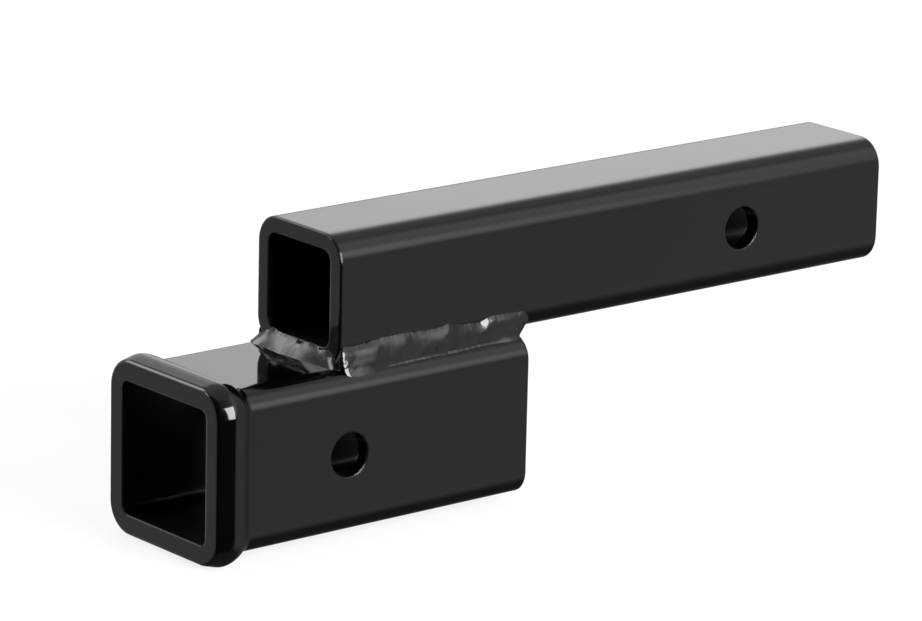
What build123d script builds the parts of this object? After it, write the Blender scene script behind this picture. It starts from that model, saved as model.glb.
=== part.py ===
from build123d import *
from math import acos, cos, sin, sqrt
import os

# A hitch drop adapter: a square shank welded on top of a shorter, wider receiver tube.
# Millimetres, +Z up. +X runs from the receiver's open mouth towards the shank's free end.
# The origin is the centre of the shank's pin hole, where the adapter is held in use.

# Shank: 2 inch square tube that slides into the vehicle's own receiver
shank_size = 50.8
shank_wall = 6.35
shank_corner_radius = 11.0
shank_inner_radius = 4.65
shank_length = 278.0
shank_pin_setback = 75.4  # from the shank's free end to its pin hole

# Receiver: 2 1/2 inch square tube whose opening takes another 2 inch shank
receiver_size = 63.5
receiver_wall = 5.55
receiver_corner_radius = 9.3
receiver_inner_radius = 3.5
receiver_length = 150.6
receiver_pin_setback = 63.0  # from the mouth to the receiver's pin hole
shank_front_setback = 62.4  # from the mouth to the shank's front face

# Both tubes
pin_hole_diameter = 17.4
cut_edge_chamfer = 0.5

# Collar: a crowned bar bent round the receiver's mouth, and the fillet weld behind it
collar_width = 12.7
collar_front_height = 2.1  # above the tube, at the mouth
collar_crown_height = 3.9
collar_crown_setback = 7.0  # from the mouth to the crown
collar_rear_height = 2.5
collar_weld_leg = 4.2

# Front weld: a fillet across the shank's cut front face, wider at its left end
front_weld_half_length = 24.0
front_weld_leg_left = 5.2
front_weld_leg_right = 3.0
front_weld_lip = 0.2  # from the weld's upper edge to the floor of the shank's bore
front_weld_bulge = 0.7
front_weld_root = 1.6  # how far it runs in under the shank's rounded lower corners

# Side welds: each fills the flare groove between a lower corner of the shank and an
# upper corner of the receiver
side_weld_start = 2.0  # behind the shank's front face
side_weld_overrun = 5.0  # past the receiver's rear end
side_weld_height = 8.8  # upper edge above the seam
side_weld_depth = 2.1  # lower edge below the seam
side_weld_bulge = 1.2
side_weld_root_gap = 1.0  # the groove is left open inside where it is narrower than this
# Past the receiver's rear end the side welds wrap in under the shank. At their tip:
side_weld_tip_height_loss = 0.2  # share of the upper edge's height
side_weld_tip_tuck = 0.6  # share of the way in from the lower edge to the root
side_weld_tip_rise = 0.5  # share of the lower edge's depth

# Rear weld: a fillet between the receiver's rear end and the shank's underside
rear_weld_leg = 4.2
rear_weld_lip = 1.0  # from the weld's lower edge to the roof of the receiver's bore
rear_weld_bulge = 0.6

# All shank welds
weld_end_rounding = 4.5
weld_end_stations = (0.04, 0.4)  # shares of the end rounding where its curve is followed
ripple_pitch = 12.0
ripple_depth = 0.35
toe_bite = 0.3  # how deep a bead's section reaches into the tubes before they trim it

# Places worked out from the sizes above
shank_half = shank_size / 2
receiver_half = receiver_size / 2
shank_front_x = shank_pin_setback - shank_length
mouth_x = shank_front_x - shank_front_setback
receiver_rear_x = mouth_x + receiver_length
receiver_pin_x = mouth_x + receiver_pin_setback
seam_z = -shank_half
receiver_axis_z = seam_z - receiver_half

shank_front_plane = Plane((shank_front_x, 0, 0), x_dir=(0, 1, 0), z_dir=(1, 0, 0))
mouth_plane = Plane((mouth_x, 0, receiver_axis_z), x_dir=(0, 1, 0), z_dir=(1, 0, 0))


def rounded_end(distance):
    """Share of a bead's full section at a distance from its rounded end."""
    if distance >= weld_end_rounding:
        return 1
    return sqrt(1 - (1 - distance / weld_end_rounding) ** 2)


def bead_stations(start, end):
    """Places along a bead, each with its share of the full section and its ripple."""
    near_end = [weld_end_rounding * share for share in weld_end_stations]
    first = start + weld_end_rounding
    last = end - weld_end_rounding
    steps = max(2, round((last - first) / (ripple_pitch / 2)))
    places = [start + gap for gap in near_end]
    places += [first + (last - first) * step / steps for step in range(steps + 1)]
    places += [end - gap for gap in reversed(near_end)]
    stations = []
    for number, place in enumerate(places):
        share = rounded_end(min(place - start, end - place))
        ripple = ripple_depth / 2 * (1 if number % 2 else -1)
        stations.append((place, share, ripple))
    return stations


def corner_point(half, radius, height, bite):
    """Point on a tube's rounded corner, seen from the seam: across it and above it."""
    angle = acos(max(0, 1 - height / radius))
    across = half - radius + (radius - bite) * sin(angle)
    above = radius - (radius - bite) * cos(angle)
    return across, above


with BuildPart() as shank_tube:
    with BuildSketch(shank_front_plane):
        RectangleRounded(shank_size, shank_size, shank_corner_radius)
    extrude(amount=shank_length)
    end_faces = shank_tube.faces().filter_by(Axis.X)
    chamfer(end_faces.edges(), cut_edge_chamfer)
    shank_bore = shank_size - 2 * shank_wall
    with BuildSketch(shank_front_plane):
        RectangleRounded(shank_bore, shank_bore, shank_inner_radius)
    extrude(amount=shank_length, mode=Mode.SUBTRACT)
    with BuildSketch(Plane.XZ):
        Circle(pin_hole_diameter / 2)
    extrude(amount=shank_size, both=True, mode=Mode.SUBTRACT)
shank_tube.part.label = "shank_tube"


with BuildPart() as receiver_tube:
    with BuildSketch(mouth_plane):
        RectangleRounded(receiver_size, receiver_size, receiver_corner_radius)
    extrude(amount=receiver_length)
    rear_face = receiver_tube.faces().sort_by(Axis.X)[-1]
    chamfer(rear_face.edges(), cut_edge_chamfer)
    receiver_bore = receiver_size - 2 * receiver_wall
    with BuildSketch(mouth_plane):
        RectangleRounded(receiver_bore, receiver_bore, receiver_inner_radius)
    extrude(amount=receiver_length, mode=Mode.SUBTRACT)
    with BuildSketch(Plane.XZ):
        with Locations((receiver_pin_x, receiver_axis_z)):
            Circle(pin_hole_diameter / 2)
    extrude(amount=receiver_size, both=True, mode=Mode.SUBTRACT)
receiver_tube.part.label = "receiver_tube"


# The collar and its weld follow the receiver's outline round the mouth
with BuildSketch(mouth_plane) as receiver_outline:
    RectangleRounded(receiver_size, receiver_size, receiver_corner_radius)
collar_path = receiver_outline.sketch.face().outer_wire()
# In this plane X is the distance behind the mouth and Y the height above the tube
collar_section_plane = Plane(collar_path @ 0, x_dir=(1, 0, 0), z_dir=collar_path % 0)

with BuildPart() as receiver_collar:
    with BuildSketch(collar_section_plane):
        with BuildLine():
            front_top = (0, collar_front_height)
            crown_top = (collar_crown_setback, collar_crown_height)
            rear_top = (collar_width, collar_rear_height)
            TangentArc(crown_top, front_top, tangent=(-1, 0))
            TangentArc(crown_top, rear_top, tangent=(1, 0))
            Polyline(rear_top, (collar_width, 0), (0, 0), front_top)
        make_face()
    sweep(path=collar_path)
receiver_collar.part.label = "receiver_collar"


with BuildPart() as collar_weld:
    with BuildSketch(collar_section_plane):
        with BuildLine():
            collar_toe = (collar_width, collar_rear_height)
            tube_toe = (collar_width + collar_weld_leg, 0)
            Polyline(collar_toe, tube_toe, (collar_width, 0), close=True)
        make_face()
    sweep(path=collar_path)
collar_weld.part.label = "collar_weld"


with BuildPart() as shank_weld_front:
    for y, share, ripple in bead_stations(-front_weld_half_length, front_weld_half_length):
        leftward = (y + front_weld_half_length) / (2 * front_weld_half_length)
        full_leg = front_weld_leg_right + (front_weld_leg_left - front_weld_leg_right) * leftward
        leg = full_leg * share
        height = (shank_wall - front_weld_lip) * share
        with BuildSketch(Plane((shank_front_x, y, seam_z), x_dir=(1, 0, 0), z_dir=(0, -1, 0))):
            with BuildLine():
                lower_toe = (-leg, -toe_bite)
                upper_toe = (toe_bite, height)
                SagittaArc(lower_toe, upper_toe, -(front_weld_bulge + ripple) * share)
                Polyline(
                    upper_toe,
                    (front_weld_root, height),
                    (front_weld_root, -toe_bite),
                    lower_toe,
                )
            make_face()
    loft(ruled=True)
    add(shank_tube.part, mode=Mode.SUBTRACT)
    add(receiver_tube.part, mode=Mode.SUBTRACT)
shank_weld_front.part.label = "shank_weld_front"


side_weld_start_x = shank_front_x + side_weld_start
side_weld_end_x = receiver_rear_x + side_weld_overrun
# Where the groove between the shank's rounded corner and the receiver's flat top opens
root_across, root_above = corner_point(shank_half, shank_corner_radius, side_weld_root_gap, 0)

with BuildPart() as shank_weld_left:
    for x, share, ripple in bead_stations(side_weld_start_x, side_weld_end_x):
        past_receiver = max(0, x - receiver_rear_x) / side_weld_overrun
        height_share = share
        if past_receiver:
            height_share = 1 - side_weld_tip_height_loss * past_receiver**2
        upper_across, upper_above = corner_point(
            shank_half, shank_corner_radius, side_weld_height * height_share, toe_bite
        )
        lower_across, lower_below = corner_point(
            receiver_half, receiver_corner_radius, side_weld_depth * height_share, toe_bite
        )
        lower_across -= (lower_across - root_across) * side_weld_tip_tuck * past_receiver
        lower_below *= 1 - side_weld_tip_rise * past_receiver
        with BuildSketch(Plane((x, 0, seam_z), x_dir=(0, 1, 0), z_dir=(1, 0, 0))):
            with BuildLine():
                upper_toe = (upper_across, upper_above)
                lower_toe = (lower_across, -lower_below)
                SagittaArc(lower_toe, upper_toe, (side_weld_bulge + ripple) * share)
                Polyline(
                    upper_toe,
                    (root_across, root_above + toe_bite),
                    (root_across, -toe_bite),
                    lower_toe,
                )
            make_face()
    loft(ruled=True)
    add(shank_tube.part, mode=Mode.SUBTRACT)
    add(receiver_tube.part, mode=Mode.SUBTRACT)
    add(shank_weld_front.part, mode=Mode.SUBTRACT)
shank_weld_left.part.label = "shank_weld_left"


with BuildPart() as shank_weld_right:
    add(shank_weld_left.part)
    mirror(about=Plane.XZ, mode=Mode.REPLACE)
shank_weld_right.part.label = "shank_weld_right"


rear_weld_half_length = receiver_half - receiver_corner_radius
with BuildPart() as shank_weld_rear:
    for y, share, ripple in bead_stations(-rear_weld_half_length, rear_weld_half_length):
        leg = rear_weld_leg * share
        height = (receiver_wall - rear_weld_lip) * share
        with BuildSketch(Plane((receiver_rear_x, y, seam_z), x_dir=(1, 0, 0), z_dir=(0, -1, 0))):
            with BuildLine():
                lower_toe = (-toe_bite, -height)
                upper_toe = (leg, toe_bite)
                SagittaArc(lower_toe, upper_toe, -(rear_weld_bulge + ripple) * share)
                Polyline(upper_toe, (-toe_bite, toe_bite), lower_toe)
            make_face()
    loft(ruled=True)
    add(shank_tube.part, mode=Mode.SUBTRACT)
    add(receiver_tube.part, mode=Mode.SUBTRACT)
    add(shank_weld_left.part, mode=Mode.SUBTRACT)
    add(shank_weld_right.part, mode=Mode.SUBTRACT)
shank_weld_rear.part.label = "shank_weld_rear"


os.makedirs("parts", exist_ok=True)
export_step(shank_tube.part, "parts/shank_tube.step")
export_step(receiver_tube.part, "parts/receiver_tube.step")
export_step(receiver_collar.part, "parts/receiver_collar.step")
export_step(collar_weld.part, "parts/collar_weld.step")
export_step(shank_weld_front.part, "parts/shank_weld_front.step")
export_step(shank_weld_right.part, "parts/shank_weld_right.step")
export_step(shank_weld_left.part, "parts/shank_weld_left.step")
export_step(shank_weld_rear.part, "parts/shank_weld_rear.step")
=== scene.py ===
from math import cos, pi, radians, sin, sqrt

import bmesh
import bpy
import numpy as np
from mathutils import Matrix, Vector


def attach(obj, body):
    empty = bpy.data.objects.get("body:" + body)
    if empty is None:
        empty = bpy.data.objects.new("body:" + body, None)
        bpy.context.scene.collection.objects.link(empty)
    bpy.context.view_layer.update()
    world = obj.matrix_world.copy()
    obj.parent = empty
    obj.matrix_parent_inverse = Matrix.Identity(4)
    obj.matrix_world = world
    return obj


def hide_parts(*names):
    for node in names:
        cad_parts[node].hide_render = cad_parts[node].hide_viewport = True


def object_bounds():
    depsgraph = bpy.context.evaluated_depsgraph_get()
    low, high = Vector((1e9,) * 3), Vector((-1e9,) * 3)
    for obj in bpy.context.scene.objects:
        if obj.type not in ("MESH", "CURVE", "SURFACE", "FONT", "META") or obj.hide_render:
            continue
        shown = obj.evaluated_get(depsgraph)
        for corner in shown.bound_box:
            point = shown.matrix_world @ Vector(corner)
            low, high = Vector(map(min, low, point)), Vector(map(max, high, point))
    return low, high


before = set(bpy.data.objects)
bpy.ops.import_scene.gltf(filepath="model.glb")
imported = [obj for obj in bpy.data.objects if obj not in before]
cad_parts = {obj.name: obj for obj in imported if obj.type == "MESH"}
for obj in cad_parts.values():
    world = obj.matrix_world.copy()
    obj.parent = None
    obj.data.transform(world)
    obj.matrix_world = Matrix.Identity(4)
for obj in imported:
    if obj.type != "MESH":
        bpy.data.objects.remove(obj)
cad_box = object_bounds()

# The frame is in metres: +X from the receiver's mouth to the shank's free end, +Z up, origin at
# the centre of the shank's pin hole. Sizes on the part are written in millimetres.
MM = 0.001

# Driving sizes, the same as the CAD part's
SHANK_HALF = 25.4
SHANK_RADIUS = 11.0
SHANK_BORE_HALF = 19.05
RECEIVER_HALF = 31.75
RECEIVER_RADIUS = 9.3
RECEIVER_BORE_HALF = 26.2
MOUTH_X = -265.0
SHANK_FRONT_X = -202.6
RECEIVER_REAR_X = -114.4
SEAM_Z = -SHANK_HALF
RECEIVER_AXIS_Z = SEAM_Z - RECEIVER_HALF


# Camera, solved on the straight edges of both tubes in the photo

CAMERA_AZIMUTH = radians(-39.813)
CAMERA_ELEVATION = radians(15.311)
CAMERA_ROLL = radians(1.368)
CAMERA_PLACE = Vector((-1.34205, -1.46306, 0.50067))
CAMERA_LENS = 199.13
SENSOR_WIDTH = 36
FAR_CLIP = 100
# Half a pixel at the part, by which the photo's count of pixels and the render's differ
HALF_PIXEL = 0.186 * MM


def make_camera():
    """The photo's camera."""
    back = Vector((
        sin(CAMERA_AZIMUTH) * cos(CAMERA_ELEVATION),
        -cos(CAMERA_AZIMUTH) * cos(CAMERA_ELEVATION),
        sin(CAMERA_ELEVATION),
    ))
    level = Vector((cos(CAMERA_AZIMUTH), sin(CAMERA_AZIMUTH), 0))
    upright = back.cross(level)
    right = cos(CAMERA_ROLL) * level + sin(CAMERA_ROLL) * upright
    up = cos(CAMERA_ROLL) * upright - sin(CAMERA_ROLL) * level
    data = bpy.data.cameras.new("camera")
    data.lens = CAMERA_LENS
    data.sensor_width = SENSOR_WIDTH
    data.clip_end = FAR_CLIP
    camera = bpy.data.objects.new("camera", data)
    bpy.context.scene.collection.objects.link(camera)
    place = CAMERA_PLACE + HALF_PIXEL * (up - right)
    turn = Matrix((right, up, back)).transposed()
    camera.matrix_world = Matrix.Translation(place) @ turn.to_4x4()
    bpy.context.scene.camera = camera


make_camera()
bpy.context.scene.view_settings.view_transform = "Standard"


# Node helpers

class Nodes:
    """A material's or the world's node tree, with short calls for its nodes and links."""

    def __init__(self, owner):
        owner.use_nodes = True
        self.tree = owner.node_tree
        self.tree.nodes.clear()

    def add(self, kind, settings=None, **inputs):
        """A new node. An input's name has _ where the socket's name has a space."""
        node = self.tree.nodes.new(kind)
        for name, value in (settings or {}).items():
            setattr(node, name, value)
        for name, value in inputs.items():
            self.put(node, name.replace("_", " "), value)
        return node

    def put(self, node, socket, value):
        """Sets a socket, or links it when the value is another node's output."""
        target = node.inputs[socket]
        if isinstance(value, bpy.types.NodeSocket):
            self.tree.links.new(value, target)
        else:
            target.default_value = value

    def math(self, operation, a, b=0.0):
        node = self.add("ShaderNodeMath", {"operation": operation})
        self.put(node, 0, a)
        self.put(node, 1, b)
        return node.outputs[0]

    def axes(self, vector):
        """The X, Y and Z of a vector."""
        node = self.add("ShaderNodeSeparateXYZ", Vector=vector)
        return node.outputs["X"], node.outputs["Y"], node.outputs["Z"]

    def noise(self, vector, scale, detail=3.0, roughness=0.5):
        """Even noise round 0.5, finer with the scale and rougher with the detail."""
        inputs = {"Vector": vector, "Scale": scale, "Detail": detail, "Roughness": roughness}
        return self.add("ShaderNodeTexNoise", **inputs).outputs["Fac"]

    def spread(self, value, low, high, to_low, to_high):
        """Carries low to to_low and high to to_high, smoothly between and flat beyond."""
        node = self.add("ShaderNodeMapRange", {"interpolation_type": "SMOOTHSTEP"})
        for index, number in enumerate((value, low, high, to_low, to_high)):
            self.put(node, index, number)
        return node.outputs[0]

    def ramp(self, value, *stops):
        """A colour from a value, with each stop given as its position and colour."""
        node = self.add("ShaderNodeValToRGB")
        elements = node.color_ramp.elements
        for element, (position, color) in zip(elements, stops):
            element.position = position
            element.color = (*color, 1)
        self.put(node, 0, value)
        return node.outputs[0]

    def bump(self, height, strength, distance, normal=None):
        node = self.add("ShaderNodeBump", Height=height, Strength=strength, Distance=distance)
        if normal is not None:
            self.put(node, "Normal", normal)
        return node.outputs[0]


# Floor

FLOOR_Z = cad_box[0][2] - 0.1 * MM
FLOOR_HALF = 12.0
FLOOR_GREY = 0.8
FLOOR_GLOW = 1.1
FLOOR_GLOW_SHARE = 0.75


def make_floor():
    """A floor that keeps the part's shadow and is otherwise as white as the background."""
    mesh = bpy.data.meshes.new("floor")
    corners = [(x * FLOOR_HALF, y * FLOOR_HALF, FLOOR_Z) for x, y in ((-1, -1), (1, -1), (1, 1), (-1, 1))]
    mesh.from_pydata(corners, [], [(0, 1, 2, 3)])
    floor = bpy.data.objects.new("floor", mesh)
    bpy.context.scene.collection.objects.link(floor)
    material = bpy.data.materials.new("floor")
    nodes = Nodes(material)
    diffuse = nodes.add("ShaderNodeBsdfDiffuse", Color=(FLOOR_GREY, FLOOR_GREY, FLOOR_GREY, 1))
    glow = nodes.add("ShaderNodeEmission", Color=(1, 1, 1, 1), Strength=FLOOR_GLOW)
    path = nodes.add("ShaderNodeLightPath")
    seen = nodes.math("MAXIMUM", path.outputs["Is Camera Ray"], path.outputs["Is Glossy Ray"])
    seen = nodes.math("MAXIMUM", seen, path.outputs["Is Transmission Ray"])
    mix = nodes.add("ShaderNodeMixShader", Fac=nodes.math("MULTIPLY", seen, FLOOR_GLOW_SHARE))
    nodes.put(mix, 1, diffuse.outputs[0])
    nodes.put(mix, 2, glow.outputs[0])
    nodes.add("ShaderNodeOutputMaterial", Surface=mix.outputs[0])
    mesh.materials.append(material)
    floor.visible_glossy = False


# World

# The black gloss shows the room in its faces and rounded edges. The room has one level, falls to
# a lower one between two elevations, and has parts that are darker or brighter. Each part has its
# azimuth, elevation, inner angle and outer angle, all in degrees, and its gain.
ROOM_LEVEL = 0.62
ROOM_LOW_LEVEL = 0.10
ROOM_FALLS_FROM = -26
ROOM_FALLS_TO = -50
ROOM_DARK = (
    (-101, -14, 30, 48, 1.0),   # low to the right of the camera
    (-150, -12, 30, 47, 1.0),   # low to its left
    (-130, 18, 24, 40, 0.9),    # behind it
    (-145, 42, 28, 44, 0.95),   # above it
    (25, -15, 10, 72, 0.8),     # low and broad behind the part
)
ROOM_BRIGHT = (
    (46, 22, 6, 30, 1.37),      # shows in the tops of both tubes
    (45, 27, 3, 12, 0.5),       # brightens them towards their front
    (112, 37, 5, 24, 4.4),      # shows in the collar's front edge, at the top
    (147, 33, 4, 11, 6.0),      # glints on the front edges of the upper right corners
    (-42, 42, 10, 26, 0.65),    # shows in the rounded upper right edges
    (-60, 22, 4, 20, 2.15),     # shows lower on the same edges, beside the lamp
)
ROOM_DIM = (
    (136, -22, 10, 28, 0.2),    # low in the front faces
    (62, 18, 4, 12, 0.2),       # in the receiver's top towards the mouth
    (80, 39, 8, 14, 0.9),       # in the front bead's mirror image on the receiver
)


def toward(azimuth, elevation):
    a, e = radians(azimuth), radians(elevation)
    return Vector((cos(a) * cos(e), sin(a) * cos(e), sin(e)))


def make_world():
    """The room that lights the part. What the camera sees of it is white."""
    world = bpy.data.worlds.new("studio")
    bpy.context.scene.world = world
    nodes = Nodes(world)
    direction = nodes.add("ShaderNodeTexCoord").outputs["Generated"]

    def lobe(azimuth, elevation, inner, outer, gain):
        """The gain within the inner angle of a direction, falling to 0 at the outer angle."""
        dot = nodes.add("ShaderNodeVectorMath", {"operation": "DOT_PRODUCT"})
        nodes.put(dot, 0, direction)
        nodes.put(dot, 1, toward(azimuth, elevation))
        angle = nodes.math("ARCCOSINE", dot.outputs["Value"])
        return nodes.spread(angle, radians(inner), radians(outer), gain, 0.0)

    height = nodes.axes(direction)[2]
    low, high = sin(radians(ROOM_FALLS_TO)), sin(radians(ROOM_FALLS_FROM))
    light = nodes.spread(height, low, high, ROOM_LOW_LEVEL, ROOM_LEVEL)
    for part in ROOM_DARK:
        light = nodes.math("MULTIPLY", light, nodes.math("SUBTRACT", 1.0, lobe(*part)))
    for part in ROOM_BRIGHT:
        light = nodes.math("ADD", light, lobe(*part))
    for part in ROOM_DIM:
        light = nodes.math("MULTIPLY", light, nodes.math("SUBTRACT", 1.0, lobe(*part)))
    seen = nodes.add("ShaderNodeLightPath").outputs["Is Camera Ray"]
    unseen = nodes.math("SUBTRACT", 1.0, seen)
    shown = nodes.math("ADD", nodes.math("MULTIPLY", light, unseen), seen)
    background = nodes.add("ShaderNodeBackground", Color=(1, 1, 1, 1), Strength=shown)
    nodes.add("ShaderNodeOutputWorld", Surface=background.outputs[0])


# Lamp

# A place near the part's middle
LAMP_AIM = Vector((-0.1, 0, -0.03))


def make_lamp(name, azimuth, elevation, distance, width, height, radiance):
    """A soft rectangular lamp, sized in metres, that shines on the part and isn't seen itself."""
    lamp = bpy.data.lights.new(name, "AREA")
    lamp.shape = "RECTANGLE"
    lamp.size = width
    lamp.size_y = height
    lamp.energy = radiance * pi * width * height
    holder = bpy.data.objects.new(name, lamp)
    holder.location = LAMP_AIM + toward(azimuth, elevation) * distance
    holder.rotation_euler = (holder.location - LAMP_AIM).to_track_quat("Z", "Y").to_euler()
    holder.visible_camera = False
    bpy.context.scene.collection.objects.link(holder)


make_floor()
make_world()
make_lamp("key", azimuth=-84, elevation=19, distance=1.8, width=0.90, height=1.20, radiance=17)


# Materials

# How far past the bores' walls their duller coat reaches
SHANK_BORE_SKIN = 0.15
RECEIVER_BORE_SKIN = 0.10
# The tube's end shows no edge where it meets the collar: from here out, and so deep
COLLAR_SEAM_HALF = 28.5
COLLAR_SEAM_DEPTH = 1.0
# How far the coat draws in over cut edges
EDGE_ROUNDING = 1.3
BORE_ROUGHNESS = 0.30


def from_axis(nodes, where, axis_z):
    """How far a place is from a tube's axis, counted square: the larger of across and up."""
    _, y, z = nodes.axes(where)
    above = nodes.math("SUBTRACT", z, axis_z * MM)
    return nodes.math("MAXIMUM", nodes.math("ABSOLUTE", y), nodes.math("ABSOLUTE", above))


def inside_tubes(nodes, where):
    """1 on the walls of both bores and 0 elsewhere, from the place on the part."""
    shank_reach = (SHANK_BORE_HALF + SHANK_BORE_SKIN) * MM
    receiver_reach = (RECEIVER_BORE_HALF + RECEIVER_BORE_SKIN) * MM
    in_shank = nodes.math("LESS_THAN", from_axis(nodes, where, 0), shank_reach)
    in_receiver = nodes.math("LESS_THAN", from_axis(nodes, where, RECEIVER_AXIS_Z), receiver_reach)
    return nodes.math("MAXIMUM", in_shank, in_receiver)


def at_collar_seam(nodes, where):
    """1 on the mouth's front face out where the tube meets the collar, flush and with no edge."""
    outer = nodes.math("GREATER_THAN", from_axis(nodes, where, RECEIVER_AXIS_Z), COLLAR_SEAM_HALF * MM)
    front = nodes.math("LESS_THAN", nodes.axes(where)[0], (MOUTH_X + COLLAR_SEAM_DEPTH) * MM)
    return nodes.math("MULTIPLY", outer, front)


def powder_coat(name, cut_edges):
    """Smooth black powder coat: a glossy film with a faint orange peel, thin and dull in the
    bores. It draws in over cut edges, which it rounds."""
    material = bpy.data.materials.new(name)
    nodes = Nodes(material)
    where = nodes.add("ShaderNodeTexCoord").outputs["Object"]
    broad = nodes.noise(where, scale=14.0)
    tone = nodes.ramp(broad, (0.3, (0.0007, 0.0007, 0.0008)), (0.7, (0.0016, 0.0016, 0.0017)))
    cloud = nodes.noise(where, scale=45.0, detail=4.0, roughness=0.6)
    gloss = nodes.spread(cloud, 0.3, 0.75, 0.05, 0.10)
    gloss = nodes.math("ADD", gloss, nodes.math("MULTIPLY", inside_tubes(nodes, where), BORE_ROUGHNESS))
    peel = nodes.noise(where, scale=420.0, detail=2.0)
    grain = nodes.noise(where, scale=1500.0, detail=2.0)
    surface = nodes.add("ShaderNodeNewGeometry").outputs["Normal"]
    if cut_edges:
        edge = nodes.add("ShaderNodeBevel", {"samples": 6}, Radius=EDGE_ROUNDING * MM)
        mix = nodes.add("ShaderNodeMix", {"data_type": "VECTOR"}, A=edge.outputs[0], B=surface)
        nodes.put(mix, "Factor", at_collar_seam(nodes, where))
        surface = mix.outputs["Result"]
    relief = nodes.bump(peel, strength=0.10, distance=0.05 * MM, normal=surface)
    relief = nodes.bump(grain, strength=0.05, distance=0.02 * MM, normal=relief)
    shader = nodes.add(
        "ShaderNodeBsdfPrincipled", IOR=1.45, Base_Color=tone, Roughness=gloss, Normal=relief
    )
    nodes.add("ShaderNodeOutputMaterial", Surface=shader.outputs[0])
    return material


def coated_weld(name):
    """The same coat over weld metal: uneven, with duller patches and faint pits."""
    material = bpy.data.materials.new(name)
    nodes = Nodes(material)
    where = nodes.add("ShaderNodeTexCoord").outputs["Object"]
    patch = nodes.noise(where, scale=160.0, detail=4.0, roughness=0.6)
    tone = nodes.ramp(patch, (0.35, (0.0012, 0.0012, 0.0013)), (0.7, (0.0045, 0.0045, 0.0046)))
    cloud = nodes.noise(where, scale=260.0, detail=4.0, roughness=0.6)
    gloss = nodes.spread(cloud, 0.3, 0.75, 0.09, 0.18)
    pits = nodes.noise(where, scale=700.0)
    relief = nodes.bump(cloud, strength=0.10, distance=0.3 * MM)
    relief = nodes.bump(pits, strength=0.08, distance=0.06 * MM, normal=relief)
    shader = nodes.add(
        "ShaderNodeBsdfPrincipled", IOR=1.5, Base_Color=tone, Roughness=gloss, Normal=relief
    )
    nodes.add("ShaderNodeOutputMaterial", Surface=shader.outputs[0])
    return material


def dress(material, *names):
    """Gives the CAD part's own meshes a material."""
    for name in names:
        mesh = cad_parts[name].data
        mesh.materials.clear()
        mesh.materials.append(material)


coat = powder_coat("gloss_black_coat", cut_edges=True)
formed_coat = powder_coat("gloss_black_coat_formed", cut_edges=False)
weld_coat = coated_weld("coated_weld_metal")
dress(coat, "shank_tube", "receiver_tube", "receiver_collar", "collar_weld")
dress(weld_coat, "shank_weld_front", "shank_weld_right", "shank_weld_left", "shank_weld_rear")


# Curves and random lines for the finer shapes

def smooth_line(points, per_span):
    """Points along a smooth line through the given ones, so many to each span."""
    p = np.array(points, float)
    padded = np.vstack([2 * p[0] - p[1], p, 2 * p[-1] - p[-2]])
    line = []
    for index in range(len(p) - 1):
        a, b, c, d = padded[index:index + 4]
        for step in range(per_span):
            t = step / per_span
            square = (2 * a - 5 * b + 4 * c - d) * t**2
            cube = (3 * b - a - 3 * c + d) * t**3
            line.append(0.5 * (2 * b + (c - a) * t + square + cube))
    line.append(p[-1])
    return np.array(line)


def between(place, points):
    """Value at a place on the smooth line through a table of (place, value)."""
    places, values = np.array(points, float).T
    slopes = np.gradient(values, places)
    number = np.clip(np.searchsorted(places, place) - 1, 0, len(places) - 2)
    span = places[number + 1] - places[number]
    t = np.clip((place - places[number]) / span, 0, 1)
    value = values[number] * (1 + 2 * t) * (1 - t) ** 2 + values[number + 1] * t * t * (3 - 2 * t)
    return value + span * (slopes[number] * t * (1 - t) ** 2 - slopes[number + 1] * t * t * (1 - t))


def even_curve(points, count):
    """Evenly spaced points on the smooth curve through the given ones."""
    points = np.array(points, float)
    run = np.concatenate([[0], np.cumsum(np.linalg.norm(np.diff(points, axis=0), axis=1))])
    place = np.linspace(0, run[-1], count)
    return np.array([between(place, list(zip(run, points[:, axis]))) for axis in (0, 1)]).T


def step_up(place, start, length):
    """Rises smoothly from 0 at the start to 1 a length further on."""
    t = np.clip((place - start) / length, 0, 1)
    return t * t * (3 - 2 * t)


def round_end(distance, radius):
    """Rises from 0 at a bead's end to 1 a radius from it, as a quarter circle does."""
    return sqrt(1 - (1 - min(1, distance / radius)) ** 2)


def wander(place, pitch, seed):
    """Smooth random line of about unit height, with finer waves on it."""
    draw = np.random.default_rng(seed)
    total = 0 * place
    for octave in range(3):
        for _ in range(4):
            wave = 2 * pi / pitch * 2**octave * draw.uniform(0.6, 1.4)
            total = total + np.sin(wave * place + draw.uniform(0, 2 * pi)) / 2**octave / 2.8
    return total


def patches(a, b, pitch, seed):
    """The same over a surface, from two coordinates."""
    draw = np.random.default_rng(seed)
    total = 0 * a
    for octave in range(3):
        for _ in range(6):
            wave = 2 * pi / pitch * 2**octave * draw.uniform(0.6, 1.4)
            turn = draw.uniform(0, pi)
            phase = wave * (a * np.cos(turn) + b * np.sin(turn)) + draw.uniform(0, 2 * pi)
            total = total + np.sin(phase) / 2**octave / 3.4
    return total


def ripple(place, u, bow, pitch, drift, drift_pitch, seed):
    """Waves over a bead: crescents that bow along it and drift from an even pitch. u runs over
    the bead's face, from 0 at its lower toe to 1 at its upper one."""
    crescent = place + bow * (1 - (2 * u - 1) ** 2)
    return np.sin(2 * pi * crescent / pitch + drift * wander(place + 0 * u, drift_pitch, seed))


def over_chord(lower, upper, u, proud):
    """Points from a lower to an upper one, set out by so much to the left of that line."""
    chord = upper - lower
    left = np.array((-chord[1], chord[0])) / np.linalg.norm(chord)
    return lower + chord * u[:, None] + left * proud[:, None]


# Meshes

SHARP_ANGLE = radians(40)
# How deep the finer shapes reach into what they sit on
BITE = 0.3
# How long the rounded ends of the side beads and the front bead are
END_ROUNDING = 2.6
# Keeps the section at a bead's end from closing to nothing
SLIVER = 0.02
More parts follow.
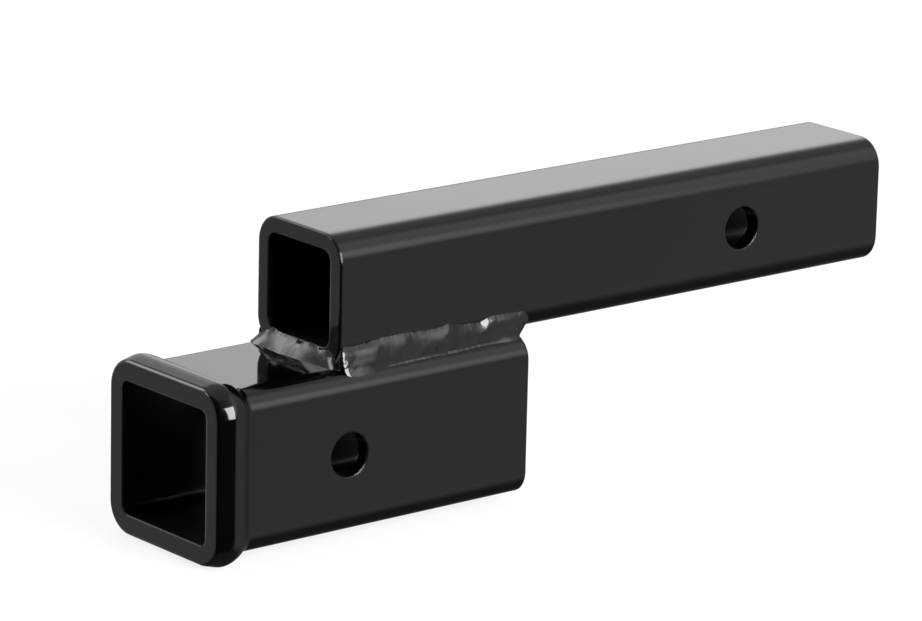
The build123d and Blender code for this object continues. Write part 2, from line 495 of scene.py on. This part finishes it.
# Spatter is flattened a little
SPATTER_SHAPE = (1, 1, 0.85)


def make_piece(name, solid, material, slot, *replaced):
    """A mesh object in metres that stands for CAD nodes and rides on the part's body."""
    points, faces = solid
    mesh = bpy.data.meshes.new(name)
    mesh.from_pydata([tuple(p * MM) for p in points], [], faces)
    work = bmesh.new()
    work.from_mesh(mesh)
    bmesh.ops.recalc_face_normals(work, faces=work.faces)
    work.to_mesh(mesh)
    work.free()
    mesh.shade_smooth()
    mesh.set_sharp_from_angle(angle=SHARP_ANGLE)
    mesh.materials.append(material)
    piece = bpy.data.objects.new(name, mesh)
    bpy.context.scene.collection.objects.link(piece)
    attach(piece, "root")
    if replaced:
        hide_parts(*replaced)


def loft_rows(rows):
    """Points and faces of a closed solid from a stack of closed loops."""
    rows = np.array(rows)
    count, around = rows.shape[:2]
    faces = []
    for i in range(count - 1):
        for j in range(around):
            k = (j + 1) % around
            faces.append((i * around + j, i * around + k, (i + 1) * around + k, (i + 1) * around + j))
    faces.append(tuple(reversed(range(around))))
    faces.append(tuple((count - 1) * around + j for j in range(around)))
    return list(rows.reshape(-1, 3)), faces


def with_spatter(solid, base, balls):
    """The solid and small balls of weld metal, each by its place from a base and its radius."""
    points, faces = solid
    for x, y, z, radius in balls:
        ball = bmesh.new()
        bmesh.ops.create_icosphere(ball, subdivisions=2, radius=radius)
        first = len(points)
        for corner in ball.verts:
            points.append(np.array(corner.co) * SPATTER_SHAPE + np.array(base) + (x, y, z))
        for face in ball.faces:
            faces.append(tuple(first + corner.index for corner in face.verts))
        ball.free()
    return points, faces


# Collar and its fillet weld

# A crowned bar with a rounded front edge, and behind it a fillet weld that runs out on the tube.
# Each row has the distance behind the mouth and the height above the tube on the left side and on
# the right, where the front edge is rounder.
COLLAR_PROFILE = (
    (0.0, 1.50, 0.40), (0.06, 1.80, 0.76), (0.25, 2.12, 1.22), (0.6, 2.52, 1.66),
    (0.85, 2.72, 1.87), (1.1, 2.86, 2.04), (1.8, 2.95, 2.38), (2.8, 3.08, 2.78),
    (4.0, 3.28, 3.22), (5.1, 3.49, 3.58), (6.0, 3.68, 3.79), (6.8, 3.84, 3.88),
    (7.7, 3.86, 3.86), (8.8, 3.70, 3.70), (9.8, 3.46, 3.46), (10.9, 3.08, 3.08),
    (12.0, 2.62, 2.62), (12.7, 2.28, 2.28),
)
COLLAR_WELD_PROFILE = (
    (12.7, 2.28, 2.28), (13.5, 1.80, 1.80), (14.3, 1.26, 1.26), (15.1, 0.76, 0.76),
    (15.9, 0.36, 0.36), (16.6, 0.10, 0.10), (17.0, 0.0, 0.0),
)
# Steps along each flat side and round each corner of the tube
FLAT_STEPS = 30
CORNER_STEPS = 22
# The section's inner line starts this far behind its outer one
INNER_STEP = 0.08
# The flat front face stops this far short of the rounded edge
RIM_STEP = 0.05
# Waves of the fillet's toe, by their number round the tube, size and start
TOE_WAVES = ((7, 1.0, 1), (17, 0.7, 4), (31, 0.5, 0))
# Ripples round the fillet, and how many times and how far they crowd and spread on the way
FILLET_RIPPLES = 88
FILLET_DRIFTS = 5
FILLET_DRIFT = 1.5


def receiver_outline():
    """Points round the receiver's outline, with their outward directions and distances along."""
    flat = RECEIVER_HALF - RECEIVER_RADIUS
    places = []
    for quarter in range(4):
        turn = quarter * pi / 2
        side = np.array((cos(turn), sin(turn)))
        along = np.array((-sin(turn), cos(turn)))
        for step in range(FLAT_STEPS):
            places.append((side * RECEIVER_HALF + along * flat * (2 * step / FLAT_STEPS - 1), side))
        corner = side * flat + along * flat
        for step in range(CORNER_STEPS):
            angle = turn + pi / 2 * step / CORNER_STEPS
            out = np.array((cos(angle), sin(angle)))
            places.append((corner + out * RECEIVER_RADIUS, out))
    base, out = np.array(places).transpose(1, 0, 2)
    gaps = np.linalg.norm(np.roll(base, -1, axis=0) - base, axis=1)
    return base, out, np.cumsum(gaps) - gaps, gaps.sum()


def sweep_round(profile, per_span, toe_wander=0.0, beat_height=0.0):
    """Sweeps an open profile round the receiver's outline and closes it inside the tube. One
    that starts at the mouth gets a flat front face, flush with the tube's end."""
    line = smooth_line(profile, per_span)
    first, last = line[0, 0], line[-1, 0]
    line = np.vstack([line, [(last, -BITE, -BITE), (first + INNER_STEP, -BITE, -BITE)]])
    if first == 0:
        rim = line[0, 1:] - RIM_STEP
        line = np.vstack([line, [(INNER_STEP, -0.03, -0.03), (0, 0, 0), (0, *rim * 0.6), (0, *rim)]])
    base, out, run, total = receiver_outline()
    loop = 2 * pi * run / total
    shift = toe_wander * sum(size * np.sin(waves * loop + start) for waves, size, start in TOE_WAVES)
    beat = beat_height * np.sin(FILLET_RIPPLES * loop + FILLET_DRIFT * np.sin(FILLET_DRIFTS * loop))
    points, faces = [], []
    count, around = len(line), len(base)
    for x, left, right in line:
        share = np.clip((x - first) / (last - first), 0, 1)
        for k in range(around):
            height = left + (right - left) * (0.5 - 0.5 * out[k][0])
            place = base[k] + out[k] * (height + sin(pi * share) * beat[k] * (height > 0))
            behind = MOUTH_X + x + shift[k] * share**2
            points.append(np.array((behind, place[0], RECEIVER_AXIS_Z + place[1])))
    for i in range(count):
        n = (i + 1) % count
        for k in range(around):
            m = (k + 1) % around
            faces.append((i * around + k, i * around + m, n * around + m, n * around + k))
    return points, faces


# Side welds

# Places along the bead are distances behind the mouth. Points of a section are across from the
# part's middle and above the seam.
SIDE_START = 63.4
SIDE_END = 155.6
# Height of the upper edge above the seam, and depth of the lower edge below it
SIDE_UPPER = (
    (SIDE_START, 9.0), (66.0, 8.4), (68.9, 8.0), (74.9, 8.5), (81.0, 9.0), (89.3, 9.3),
    (96.6, 9.1), (104.0, 8.7), (111.3, 8.9), (114.6, 9.4), (118.7, 8.7), (126.3, 7.9),
    (131.3, 7.7), (135.0, 8.9), (140.9, 9.2), (148.5, 8.8), (154.2, 8.0), (SIDE_END, 7.0),
)
SIDE_LOWER = (
    (SIDE_START, 2.5), (69.8, 2.8), (75.5, 2.8), (80.8, 2.4), (89.6, 2.1), (99.3, 2.0),
    (109.5, 1.95), (117.3, 1.9), (131.9, 1.7), (145.0, 1.6), (SIDE_END, 1.2),
)
# How much of its full section the bead has, by distance behind its blunt front end
SIDE_NOSE = (
    (0.0, 0.06), (0.05, 0.50), (0.14, 0.72), (0.3, 0.83), (0.6, 0.895), (1.0, 0.938),
    (1.5, 0.963), (2.2, 0.983), (3.2, 0.995), (4.6, 1.0), (6.0, 1.0), (8.0, 1.0), (100.0, 1.0),
)
# Sections between the lower toe and the upper edge. Three points are steps from the toe. Two more
# lie a share of the way from the third to the upper edge, and so far proud. The main section's
# first step has a thin lip, and its other two are counted from the first.
SIDE_FOOT = np.array((-0.10, 0.35))
SIDE_LIP_FOOT = np.array((-0.30, 0.75))
SIDE_LIP_DEPTH = 0.35
SIDE_LOW = (0.05, 0.7)
SIDE_KNEE = (0.0, 1.5)
SIDE_MAIN_LEANS = ((0.40, 0.34), (0.76, 0.30))
SIDE_REAR_STEPS = ((-0.55, 0.85), (-1.25, 2.3), (-1.75, 4.2))
SIDE_REAR_LEANS = ((0.42, 0.50), (0.78, 0.42))
# The plain front section, by shares of the way from toe to upper edge, and how far proud
SIDE_FRONT_SHARES = (0, 0.15, 0.27, 0.39, 0.51, 0.76, 1.0)
SIDE_FRONT_PROUD = (0, 0.0, 0.08, 0.26, 0.40, 0.60, 0)
# Where the front section turns into the main one, the main one into the rear one, and where the
# lip grows and fades, by start and length
SIDE_FRONT_TO_MAIN = (73, 12)
SIDE_MAIN_TO_REAR = (122, 28)
SIDE_LIP_GROWS = (77, 8)
SIDE_LIP_FADES = (134, 14)
# The left bead's front is hollow: how far it sinks and draws in, and where that ends
SIDE_HOLLOW_SINKS = 3.0
SIDE_HOLLOW_DRAWS = 2.6
SIDE_HOLLOW_FADES = (SIDE_START + 2, 12)
# Restarts of the bead, by height, where each rises and how slowly, and where it drops and how
# fast. The last one keeps its height to the end. At the toe they come sooner by the slant.
SIDE_RESTARTS = (
    (0.20, 70, 9, 80.2, 4.0), (0.22, 86, 8, 94.2, 3.6), (0.42, 100, 15, 114.8, 3.6),
    (0.45, 130, 12, 2 * SIDE_END, 1.0),
)
SIDE_SLANT = 5.0
# A small crest that catches the light: height, place and length along, place and width across
SIDE_CREST = (0.24, 137.4, 1.3, 0.87, 0.08)
# The blunt front end bulges forward this far, over this length, and has rough patches
SIDE_BULGE = 1.3
SIDE_BULGE_FADES = (SIDE_START, 10)
SIDE_ROUGH_FADES = (65, 8)
# At the rear end the toe stops this far short of the upper edge
SIDE_TOE_SHORT = 3.3
SIDE_TOE_LEAVES = (147, SIDE_END - 147)
# Points across the face, and about how wide it is
SIDE_POINTS = 52
SIDE_WIDTH = 12
# The groove's root behind the bead, and the middle of the section that the rear end closes to
SIDE_ROOT = np.array((21.4, 1.0))
SIDE_MIDDLE = np.array((24.3, 3.2))
SIDE_CLOSES_TO = 0.55
SIDE_SPATTER = ((75.6, -25.45, 8.4, 0.42), (77.0, -25.45, 8.9, 0.26), (98.0, -25.45, 9.6, 0.24))


def corner_point(half, radius, height):
    """Point on a tube's rounded corner, across from the middle and away from the seam."""
    swing = np.arccos(np.clip(1 - height / radius, -1, 1))
    across = half - radius + radius * np.sin(swing)
    return np.array((across, radius * (1 - np.cos(swing)) + np.maximum(0, height - radius)))


def seven_points(toe, upper, steps, leans):
    """A section's outline from its toe through three steps and two leaning points."""
    foot, low, knee = (toe + step for step in steps)
    lean, top = (knee + (upper - knee) * share + (proud, 0) for share, proud in leans)
    return np.array([toe, foot, low, knee, lean, top, upper])


def side_section(x, depth, height):
    """Section of the bead, from its lower toe up: over a thin lip at the toe it stands nearly
    upright, then leans in to the shank. Its rear end runs out on the receiver in a hollow."""
    upper = corner_point(SHANK_HALF, SHANK_RADIUS, height)
    lip = step_up(x, *SIDE_LIP_GROWS) * (1 - step_up(x, *SIDE_LIP_FADES))
    toe = corner_point(RECEIVER_HALF, RECEIVER_RADIUS, depth - SIDE_LIP_DEPTH * lip) * (1, -1)
    foot = SIDE_FOOT + SIDE_LIP_FOOT * lip
    main = seven_points(toe, upper, (foot, foot + SIDE_LOW, foot + SIDE_KNEE), SIDE_MAIN_LEANS)
    rear = seven_points(toe, upper, SIDE_REAR_STEPS, SIDE_REAR_LEANS)
    rear_share = step_up(x, *SIDE_MAIN_TO_REAR)
    section = main * (1 - rear_share) + rear * rear_share
    front = toe + np.outer(SIDE_FRONT_SHARES, upper - toe) + np.outer(SIDE_FRONT_PROUD, (1, 0))
    front_share = 1 - step_up(x, *SIDE_FRONT_TO_MAIN)
    return even_curve(section * (1 - front_share) + front * front_share, SIDE_POINTS)


def side_face(x, u, side, seed):
    """The bead's face at a place along it, with its uneven edges. Past the receiver's rear end it
    shrinks towards the root."""
    settled = step_up(x, SIDE_START, 4)
    height = between(x, SIDE_UPPER) + 0.05 * wander(x, pitch=15.0, seed=seed + 1) * settled
    depth = between(x, SIDE_LOWER) + 0.05 * wander(x, pitch=15.0, seed=seed + 2) * settled
    face = side_section(x, depth, height)
    face[:, 1] += 0.10 * wander(x, pitch=5.0, seed=seed + 6) * u**12
    if side > 0:
        hollow = 1 - step_up(x, *SIDE_HOLLOW_FADES)
        face[:, 1] -= SIDE_HOLLOW_SINKS * hollow * u**2
        face[:, 0] -= SIDE_HOLLOW_DRAWS * hollow * np.sin(pi * u**0.8)
    rear = RECEIVER_REAR_X - MOUTH_X
    past = np.clip((x - rear) / (SIDE_END - rear), 0, 1)
    face[:, 0] -= (face[:, 0] - SIDE_ROOT[0]) * 0.5 * past * (1 - u)
    face[:, 1] -= np.minimum(face[:, 1], 0) * 0.6 * past
    return face


def side_swell(x, u, seed):
    """How far the face stands proud of its section: restarts, ripples and uneven patches."""
    place = x + SIDE_SLANT * (1 - u) ** 1.5
    swell = 0.05 * wander(place, pitch=24.0, seed=seed + 4)
    for height, rises, slowly, drops, fast in SIDE_RESTARTS:
        swell = swell + height * step_up(place, rises, slowly) * (1 - step_up(place, drops, fast))
    height, along, length, level, width = SIDE_CREST
    swell = swell + height * np.exp(-((place - along) / length) ** 2 - ((u - level) / width) ** 2)
    swell = swell + 0.003 * ripple(
        x, u, bow=2.4, pitch=2.6, drift=0.9, drift_pitch=8.0, seed=seed + 3
    )
    swell = swell + 0.05 * patches(x + 0 * u, u * SIDE_WIDTH, pitch=22.0, seed=seed + 5)
    rough = 1 - step_up(x, *SIDE_ROUGH_FADES)
    swell = swell + 0.05 * patches(x + 0 * u, u * SIDE_WIDTH, pitch=3.2, seed=seed + 7) * rough
    return np.sin(pi * u) * swell


def side_loop(x, u, side, seed):
    """The bead's closed outline at a place along it: its face, and four points behind that."""
    face = side_face(x, u, side, seed)
    tangent = np.gradient(face, axis=0)
    tangent /= np.linalg.norm(tangent, axis=1)[:, None]
    outward = np.array((tangent[:, 1], -tangent[:, 0])).T
    face = face + outward * side_swell(x, u, seed)[:, None]
    closing = SIDE_CLOSES_TO + (1 - SIDE_CLOSES_TO) * round_end(SIDE_END - x + SLIVER, END_ROUNDING)
    face = SIDE_MIDDLE + (face - SIDE_MIDDLE) * closing
    face = SIDE_ROOT + (face - SIDE_ROOT) * between(x - SIDE_START, SIDE_NOSE)
    forward = SIDE_BULGE * (1 - step_up(x, *SIDE_BULGE_FADES)) * np.sin(pi * u) ** 0.5
    forward = forward + SIDE_TOE_SHORT * (1 - u) ** 1.3 * step_up(x, *SIDE_TOE_LEAVES)
    behind = (
        face[-1] + (-0.7, 0.25),
        SIDE_ROOT + (-0.6, -0.25),
        SIDE_ROOT + (-0.6, -0.6),
        face[0] + (-0.6, -0.5),
    )
    loop = np.vstack([face, behind])
    forward = [*forward, forward[-1], 0, 0, forward[0]]
    return [(MOUTH_X + x - f, side * a, SEAM_Z + b) for (a, b), f in zip(loop, forward)]


def side_weld(side, seed):
    """The bead along one side, +1 for the left (+Y) and -1 for the right."""
    front, rear = 5.0, 3.0
    stations = np.concatenate([
        SIDE_START + front * np.linspace(0, 1, 40)[:-1] ** 2.4,
        np.linspace(SIDE_START + front, SIDE_END - rear, 330)[:-1],
        SIDE_END - rear * np.linspace(1, 0, 22) ** 1.6,
    ])
    u = np.linspace(0, 1, SIDE_POINTS)
    return loft_rows([side_loop(x, u, side, seed) for x in stations])


# Front weld

# By place across the shank: the leg on the receiver's top, the height up the shank's cut face,
# and how far the rough upper edge is above or below that height
FRONT_START = -26.3
FRONT_END = 27.0
FRONT_LEG = (
    (FRONT_START, 1.76), (-22.0, 2.53), (-16.1, 3.08), (-9.4, 3.85), (-1.5, 4.18), (5.9, 4.84),
    (11.4, 4.51), (16.6, 4.07), (20.7, 4.4), (22.9, 4.29), (24.8, 3.52), (FRONT_END, 2.42),
)
FRONT_HEIGHT = (
    (FRONT_START, 0.6), (-24.0, 2.8), (-21.5, 4.6), (-18.0, 5.7), (-13.0, 6.2), (-7.0, 6.2),
    (-1.0, 5.7), (5.0, 5.9), (10.0, 6.4), (14.5, 6.7), (17.5, 5.9), (20.5, 4.9), (23.0, 3.7),
    (25.0, 2.2), (FRONT_END, 0.7),
)
FRONT_EDGE = (
    (FRONT_START, 0.0), (-21.5, 0.4), (-19.0, 0.7), (-16.5, -0.2), (-14.5, -0.7), (-12.4, 0.1),
    (-8.8, 0.5), (-5.5, 0.0), (-3.7, 0.1), (-1.2, -0.8), (0.9, 0.1), (3.5, 0.3), (7.6, 0.1),
    (11.8, 0.0), (13.9, 0.4), (15.4, 0.8), (17.4, 0.2), (19.5, 0.0), (FRONT_END, 0.0),
)
# About how wide its slope is
FRONT_SLOPE = 7.5
FRONT_SPATTER = ((0.1, 15.0, 7.2, 0.48), (0.1, -0.4, 6.2, 0.34), (0.1, 5.2, 6.5, 0.28))


def front_weld(seed):
    """The fillet across the shank's cut face: a smooth slope with a ragged upper edge."""
    u = np.linspace(0, 1, 34)
    hold = np.sin(pi * u) ** 0.7
    rows = []
    for y in np.linspace(FRONT_START, FRONT_END, 246):
        share = round_end(min(y - FRONT_START, FRONT_END - y) + SLIVER, END_ROUNDING)
        leg = between(y, FRONT_LEG) * (0.35 + 0.65 * share)
        leg = leg + 0.03 * wander(y, pitch=14.0, seed=seed)
        height = between(y, FRONT_HEIGHT) * (0.3 + 0.7 * share)
        ragged = between(y, FRONT_EDGE) + 0.16 * wander(y, pitch=3.6, seed=seed + 1)
        ragged = ragged + 0.10 * wander(y, pitch=1.5, seed=seed + 2)
        lower, upper = np.array((-leg, 0.0)), np.array((0.0, height))
        swell = 0.10 * np.sin(pi * u) * np.linalg.norm(upper - lower) / FRONT_SLOPE
        uneven = 0.05 * patches(y + 0 * u, u * FRONT_SLOPE, pitch=18.0, seed=seed + 3)
        waves = ripple(y, u, bow=1.6, pitch=2.3, drift=1.0, drift_pitch=7.0, seed=seed + 4)
        swell = swell + hold * (uneven + 0.003 * waves)
        bead = over_chord(lower, upper, u, swell * share)
        bead[:, 1] = np.maximum(bead[:, 1] + ragged * share * u**7, SLIVER)
        top = bead[-1, 1]
        behind = [(0.6, top + 0.05), (1.6, max(BITE, top - 0.5)), (1.6, -BITE), (-leg + 0.4, -BITE)]
        loop = np.vstack([bead, behind])
        rows.append([(SHANK_FRONT_X + a, y, SEAM_Z + b) for a, b in loop])
    return loft_rows(rows)


# Rear weld

REAR_HALF = 22.6
REAR_LEG = 4.1
REAR_DEPTH = 4.5
REAR_CROWN = 0.55
REAR_ROUNDING = 2.0
# About how wide its slope is
REAR_SLOPE = 6


def rear_weld(seed):
    """The fillet between the receiver's rear end and the shank's underside."""
    u = np.linspace(0, 1, 30)
    hold = np.sin(pi * u) ** 0.7
    rows = []
    for y in np.linspace(-REAR_HALF, REAR_HALF, 190):
        share = round_end(REAR_HALF - abs(y) + SLIVER, REAR_ROUNDING)
        leg = (REAR_LEG + 0.25 * wander(y, pitch=9.0, seed=seed)) * (0.5 + 0.5 * share)
        depth = (REAR_DEPTH + 0.20 * wander(y, pitch=7.0, seed=seed + 1)) * (0.5 + 0.5 * share)
        uneven = 0.07 * patches(y + 0 * u, u * REAR_SLOPE, pitch=8.0, seed=seed + 3)
        waves = ripple(y, u, bow=1.8, pitch=2.5, drift=1.0, drift_pitch=8.0, seed=seed + 2)
        swell = REAR_CROWN * np.sin(pi * u) + hold * (uneven + 0.03 * waves)
        lower, upper = np.array((0.0, -depth)), np.array((leg, 0.0))
        bead = over_chord(lower, upper, u, -swell * share)
        behind = [(leg - 0.3, 0.4), (-0.4, 0.4), (-0.4, -depth + 0.3)]
        loop = np.vstack([bead, behind])
        rows.append([(RECEIVER_REAR_X + a, y, SEAM_Z + b) for a, b in loop])
    return loft_rows(rows)


# Tube seam

# Low on the left inner wall, from this far behind the mouth to this far short of the rear end
TUBE_SEAM_Z = RECEIVER_AXIS_Z - 23.2
TUBE_SEAM_STARTS = 15.0
TUBE_SEAM_STOPS = 1.0
# It grows to its full size over this length
TUBE_SEAM_GROWS = 6.0


def tube_seam(seed):
    """The flash of the receiver tube's own seam: a thin rough ridge along one inner wall."""
    along = np.linspace(MOUTH_X + TUBE_SEAM_STARTS, RECEIVER_REAR_X - TUBE_SEAM_STOPS, 520)
    swing = np.linspace(0, pi, 9)
    wall = RECEIVER_BORE_HALF
    rows = []
    for x in along:
        grown = min(1, (x - along[0]) / TUBE_SEAM_GROWS)
        wide = (0.34 + 0.12 * wander(x, pitch=2.2, seed=seed)) * grown + SLIVER
        proud = (0.28 + 0.14 * wander(x, pitch=1.4, seed=seed + 1)) * grown + SLIVER / 2
        middle = TUBE_SEAM_Z + 0.20 * wander(x, pitch=3.0, seed=seed + 2)
        loop = [(x, wall - proud * sin(a), middle + wide * cos(a)) for a in swing]
        loop += [(x, wall + BITE, middle - wide), (x, wall + BITE, middle + wide)]
        rows.append(loop)
    return loft_rows(rows)


# Pieces

collar = sweep_round(COLLAR_PROFILE, per_span=4)
make_piece("collar_ring", collar, formed_coat, "powder_coat", "receiver_collar")

collar_fillet = sweep_round(COLLAR_WELD_PROFILE, per_span=5, toe_wander=0.22, beat_height=0.05)
make_piece("collar_fillet", collar_fillet, formed_coat, "powder_coat", "collar_weld")

right_bead = with_spatter(side_weld(-1, seed=40), (MOUTH_X, 0, SEAM_Z), SIDE_SPATTER)
make_piece("side_bead_right", right_bead, weld_coat, "coated_weld", "shank_weld_right")
make_piece("side_bead_left", side_weld(1, seed=70), weld_coat, "coated_weld", "shank_weld_left")

front_bead = with_spatter(front_weld(seed=11), (SHANK_FRONT_X, 0, SEAM_Z), FRONT_SPATTER)
make_piece("front_bead", front_bead, weld_coat, "coated_weld", "shank_weld_front")
make_piece("rear_bead", rear_weld(seed=90), weld_coat, "coated_weld", "shank_weld_rear")
make_piece("tube_seam", tube_seam(seed=120), weld_coat, "coated_weld")
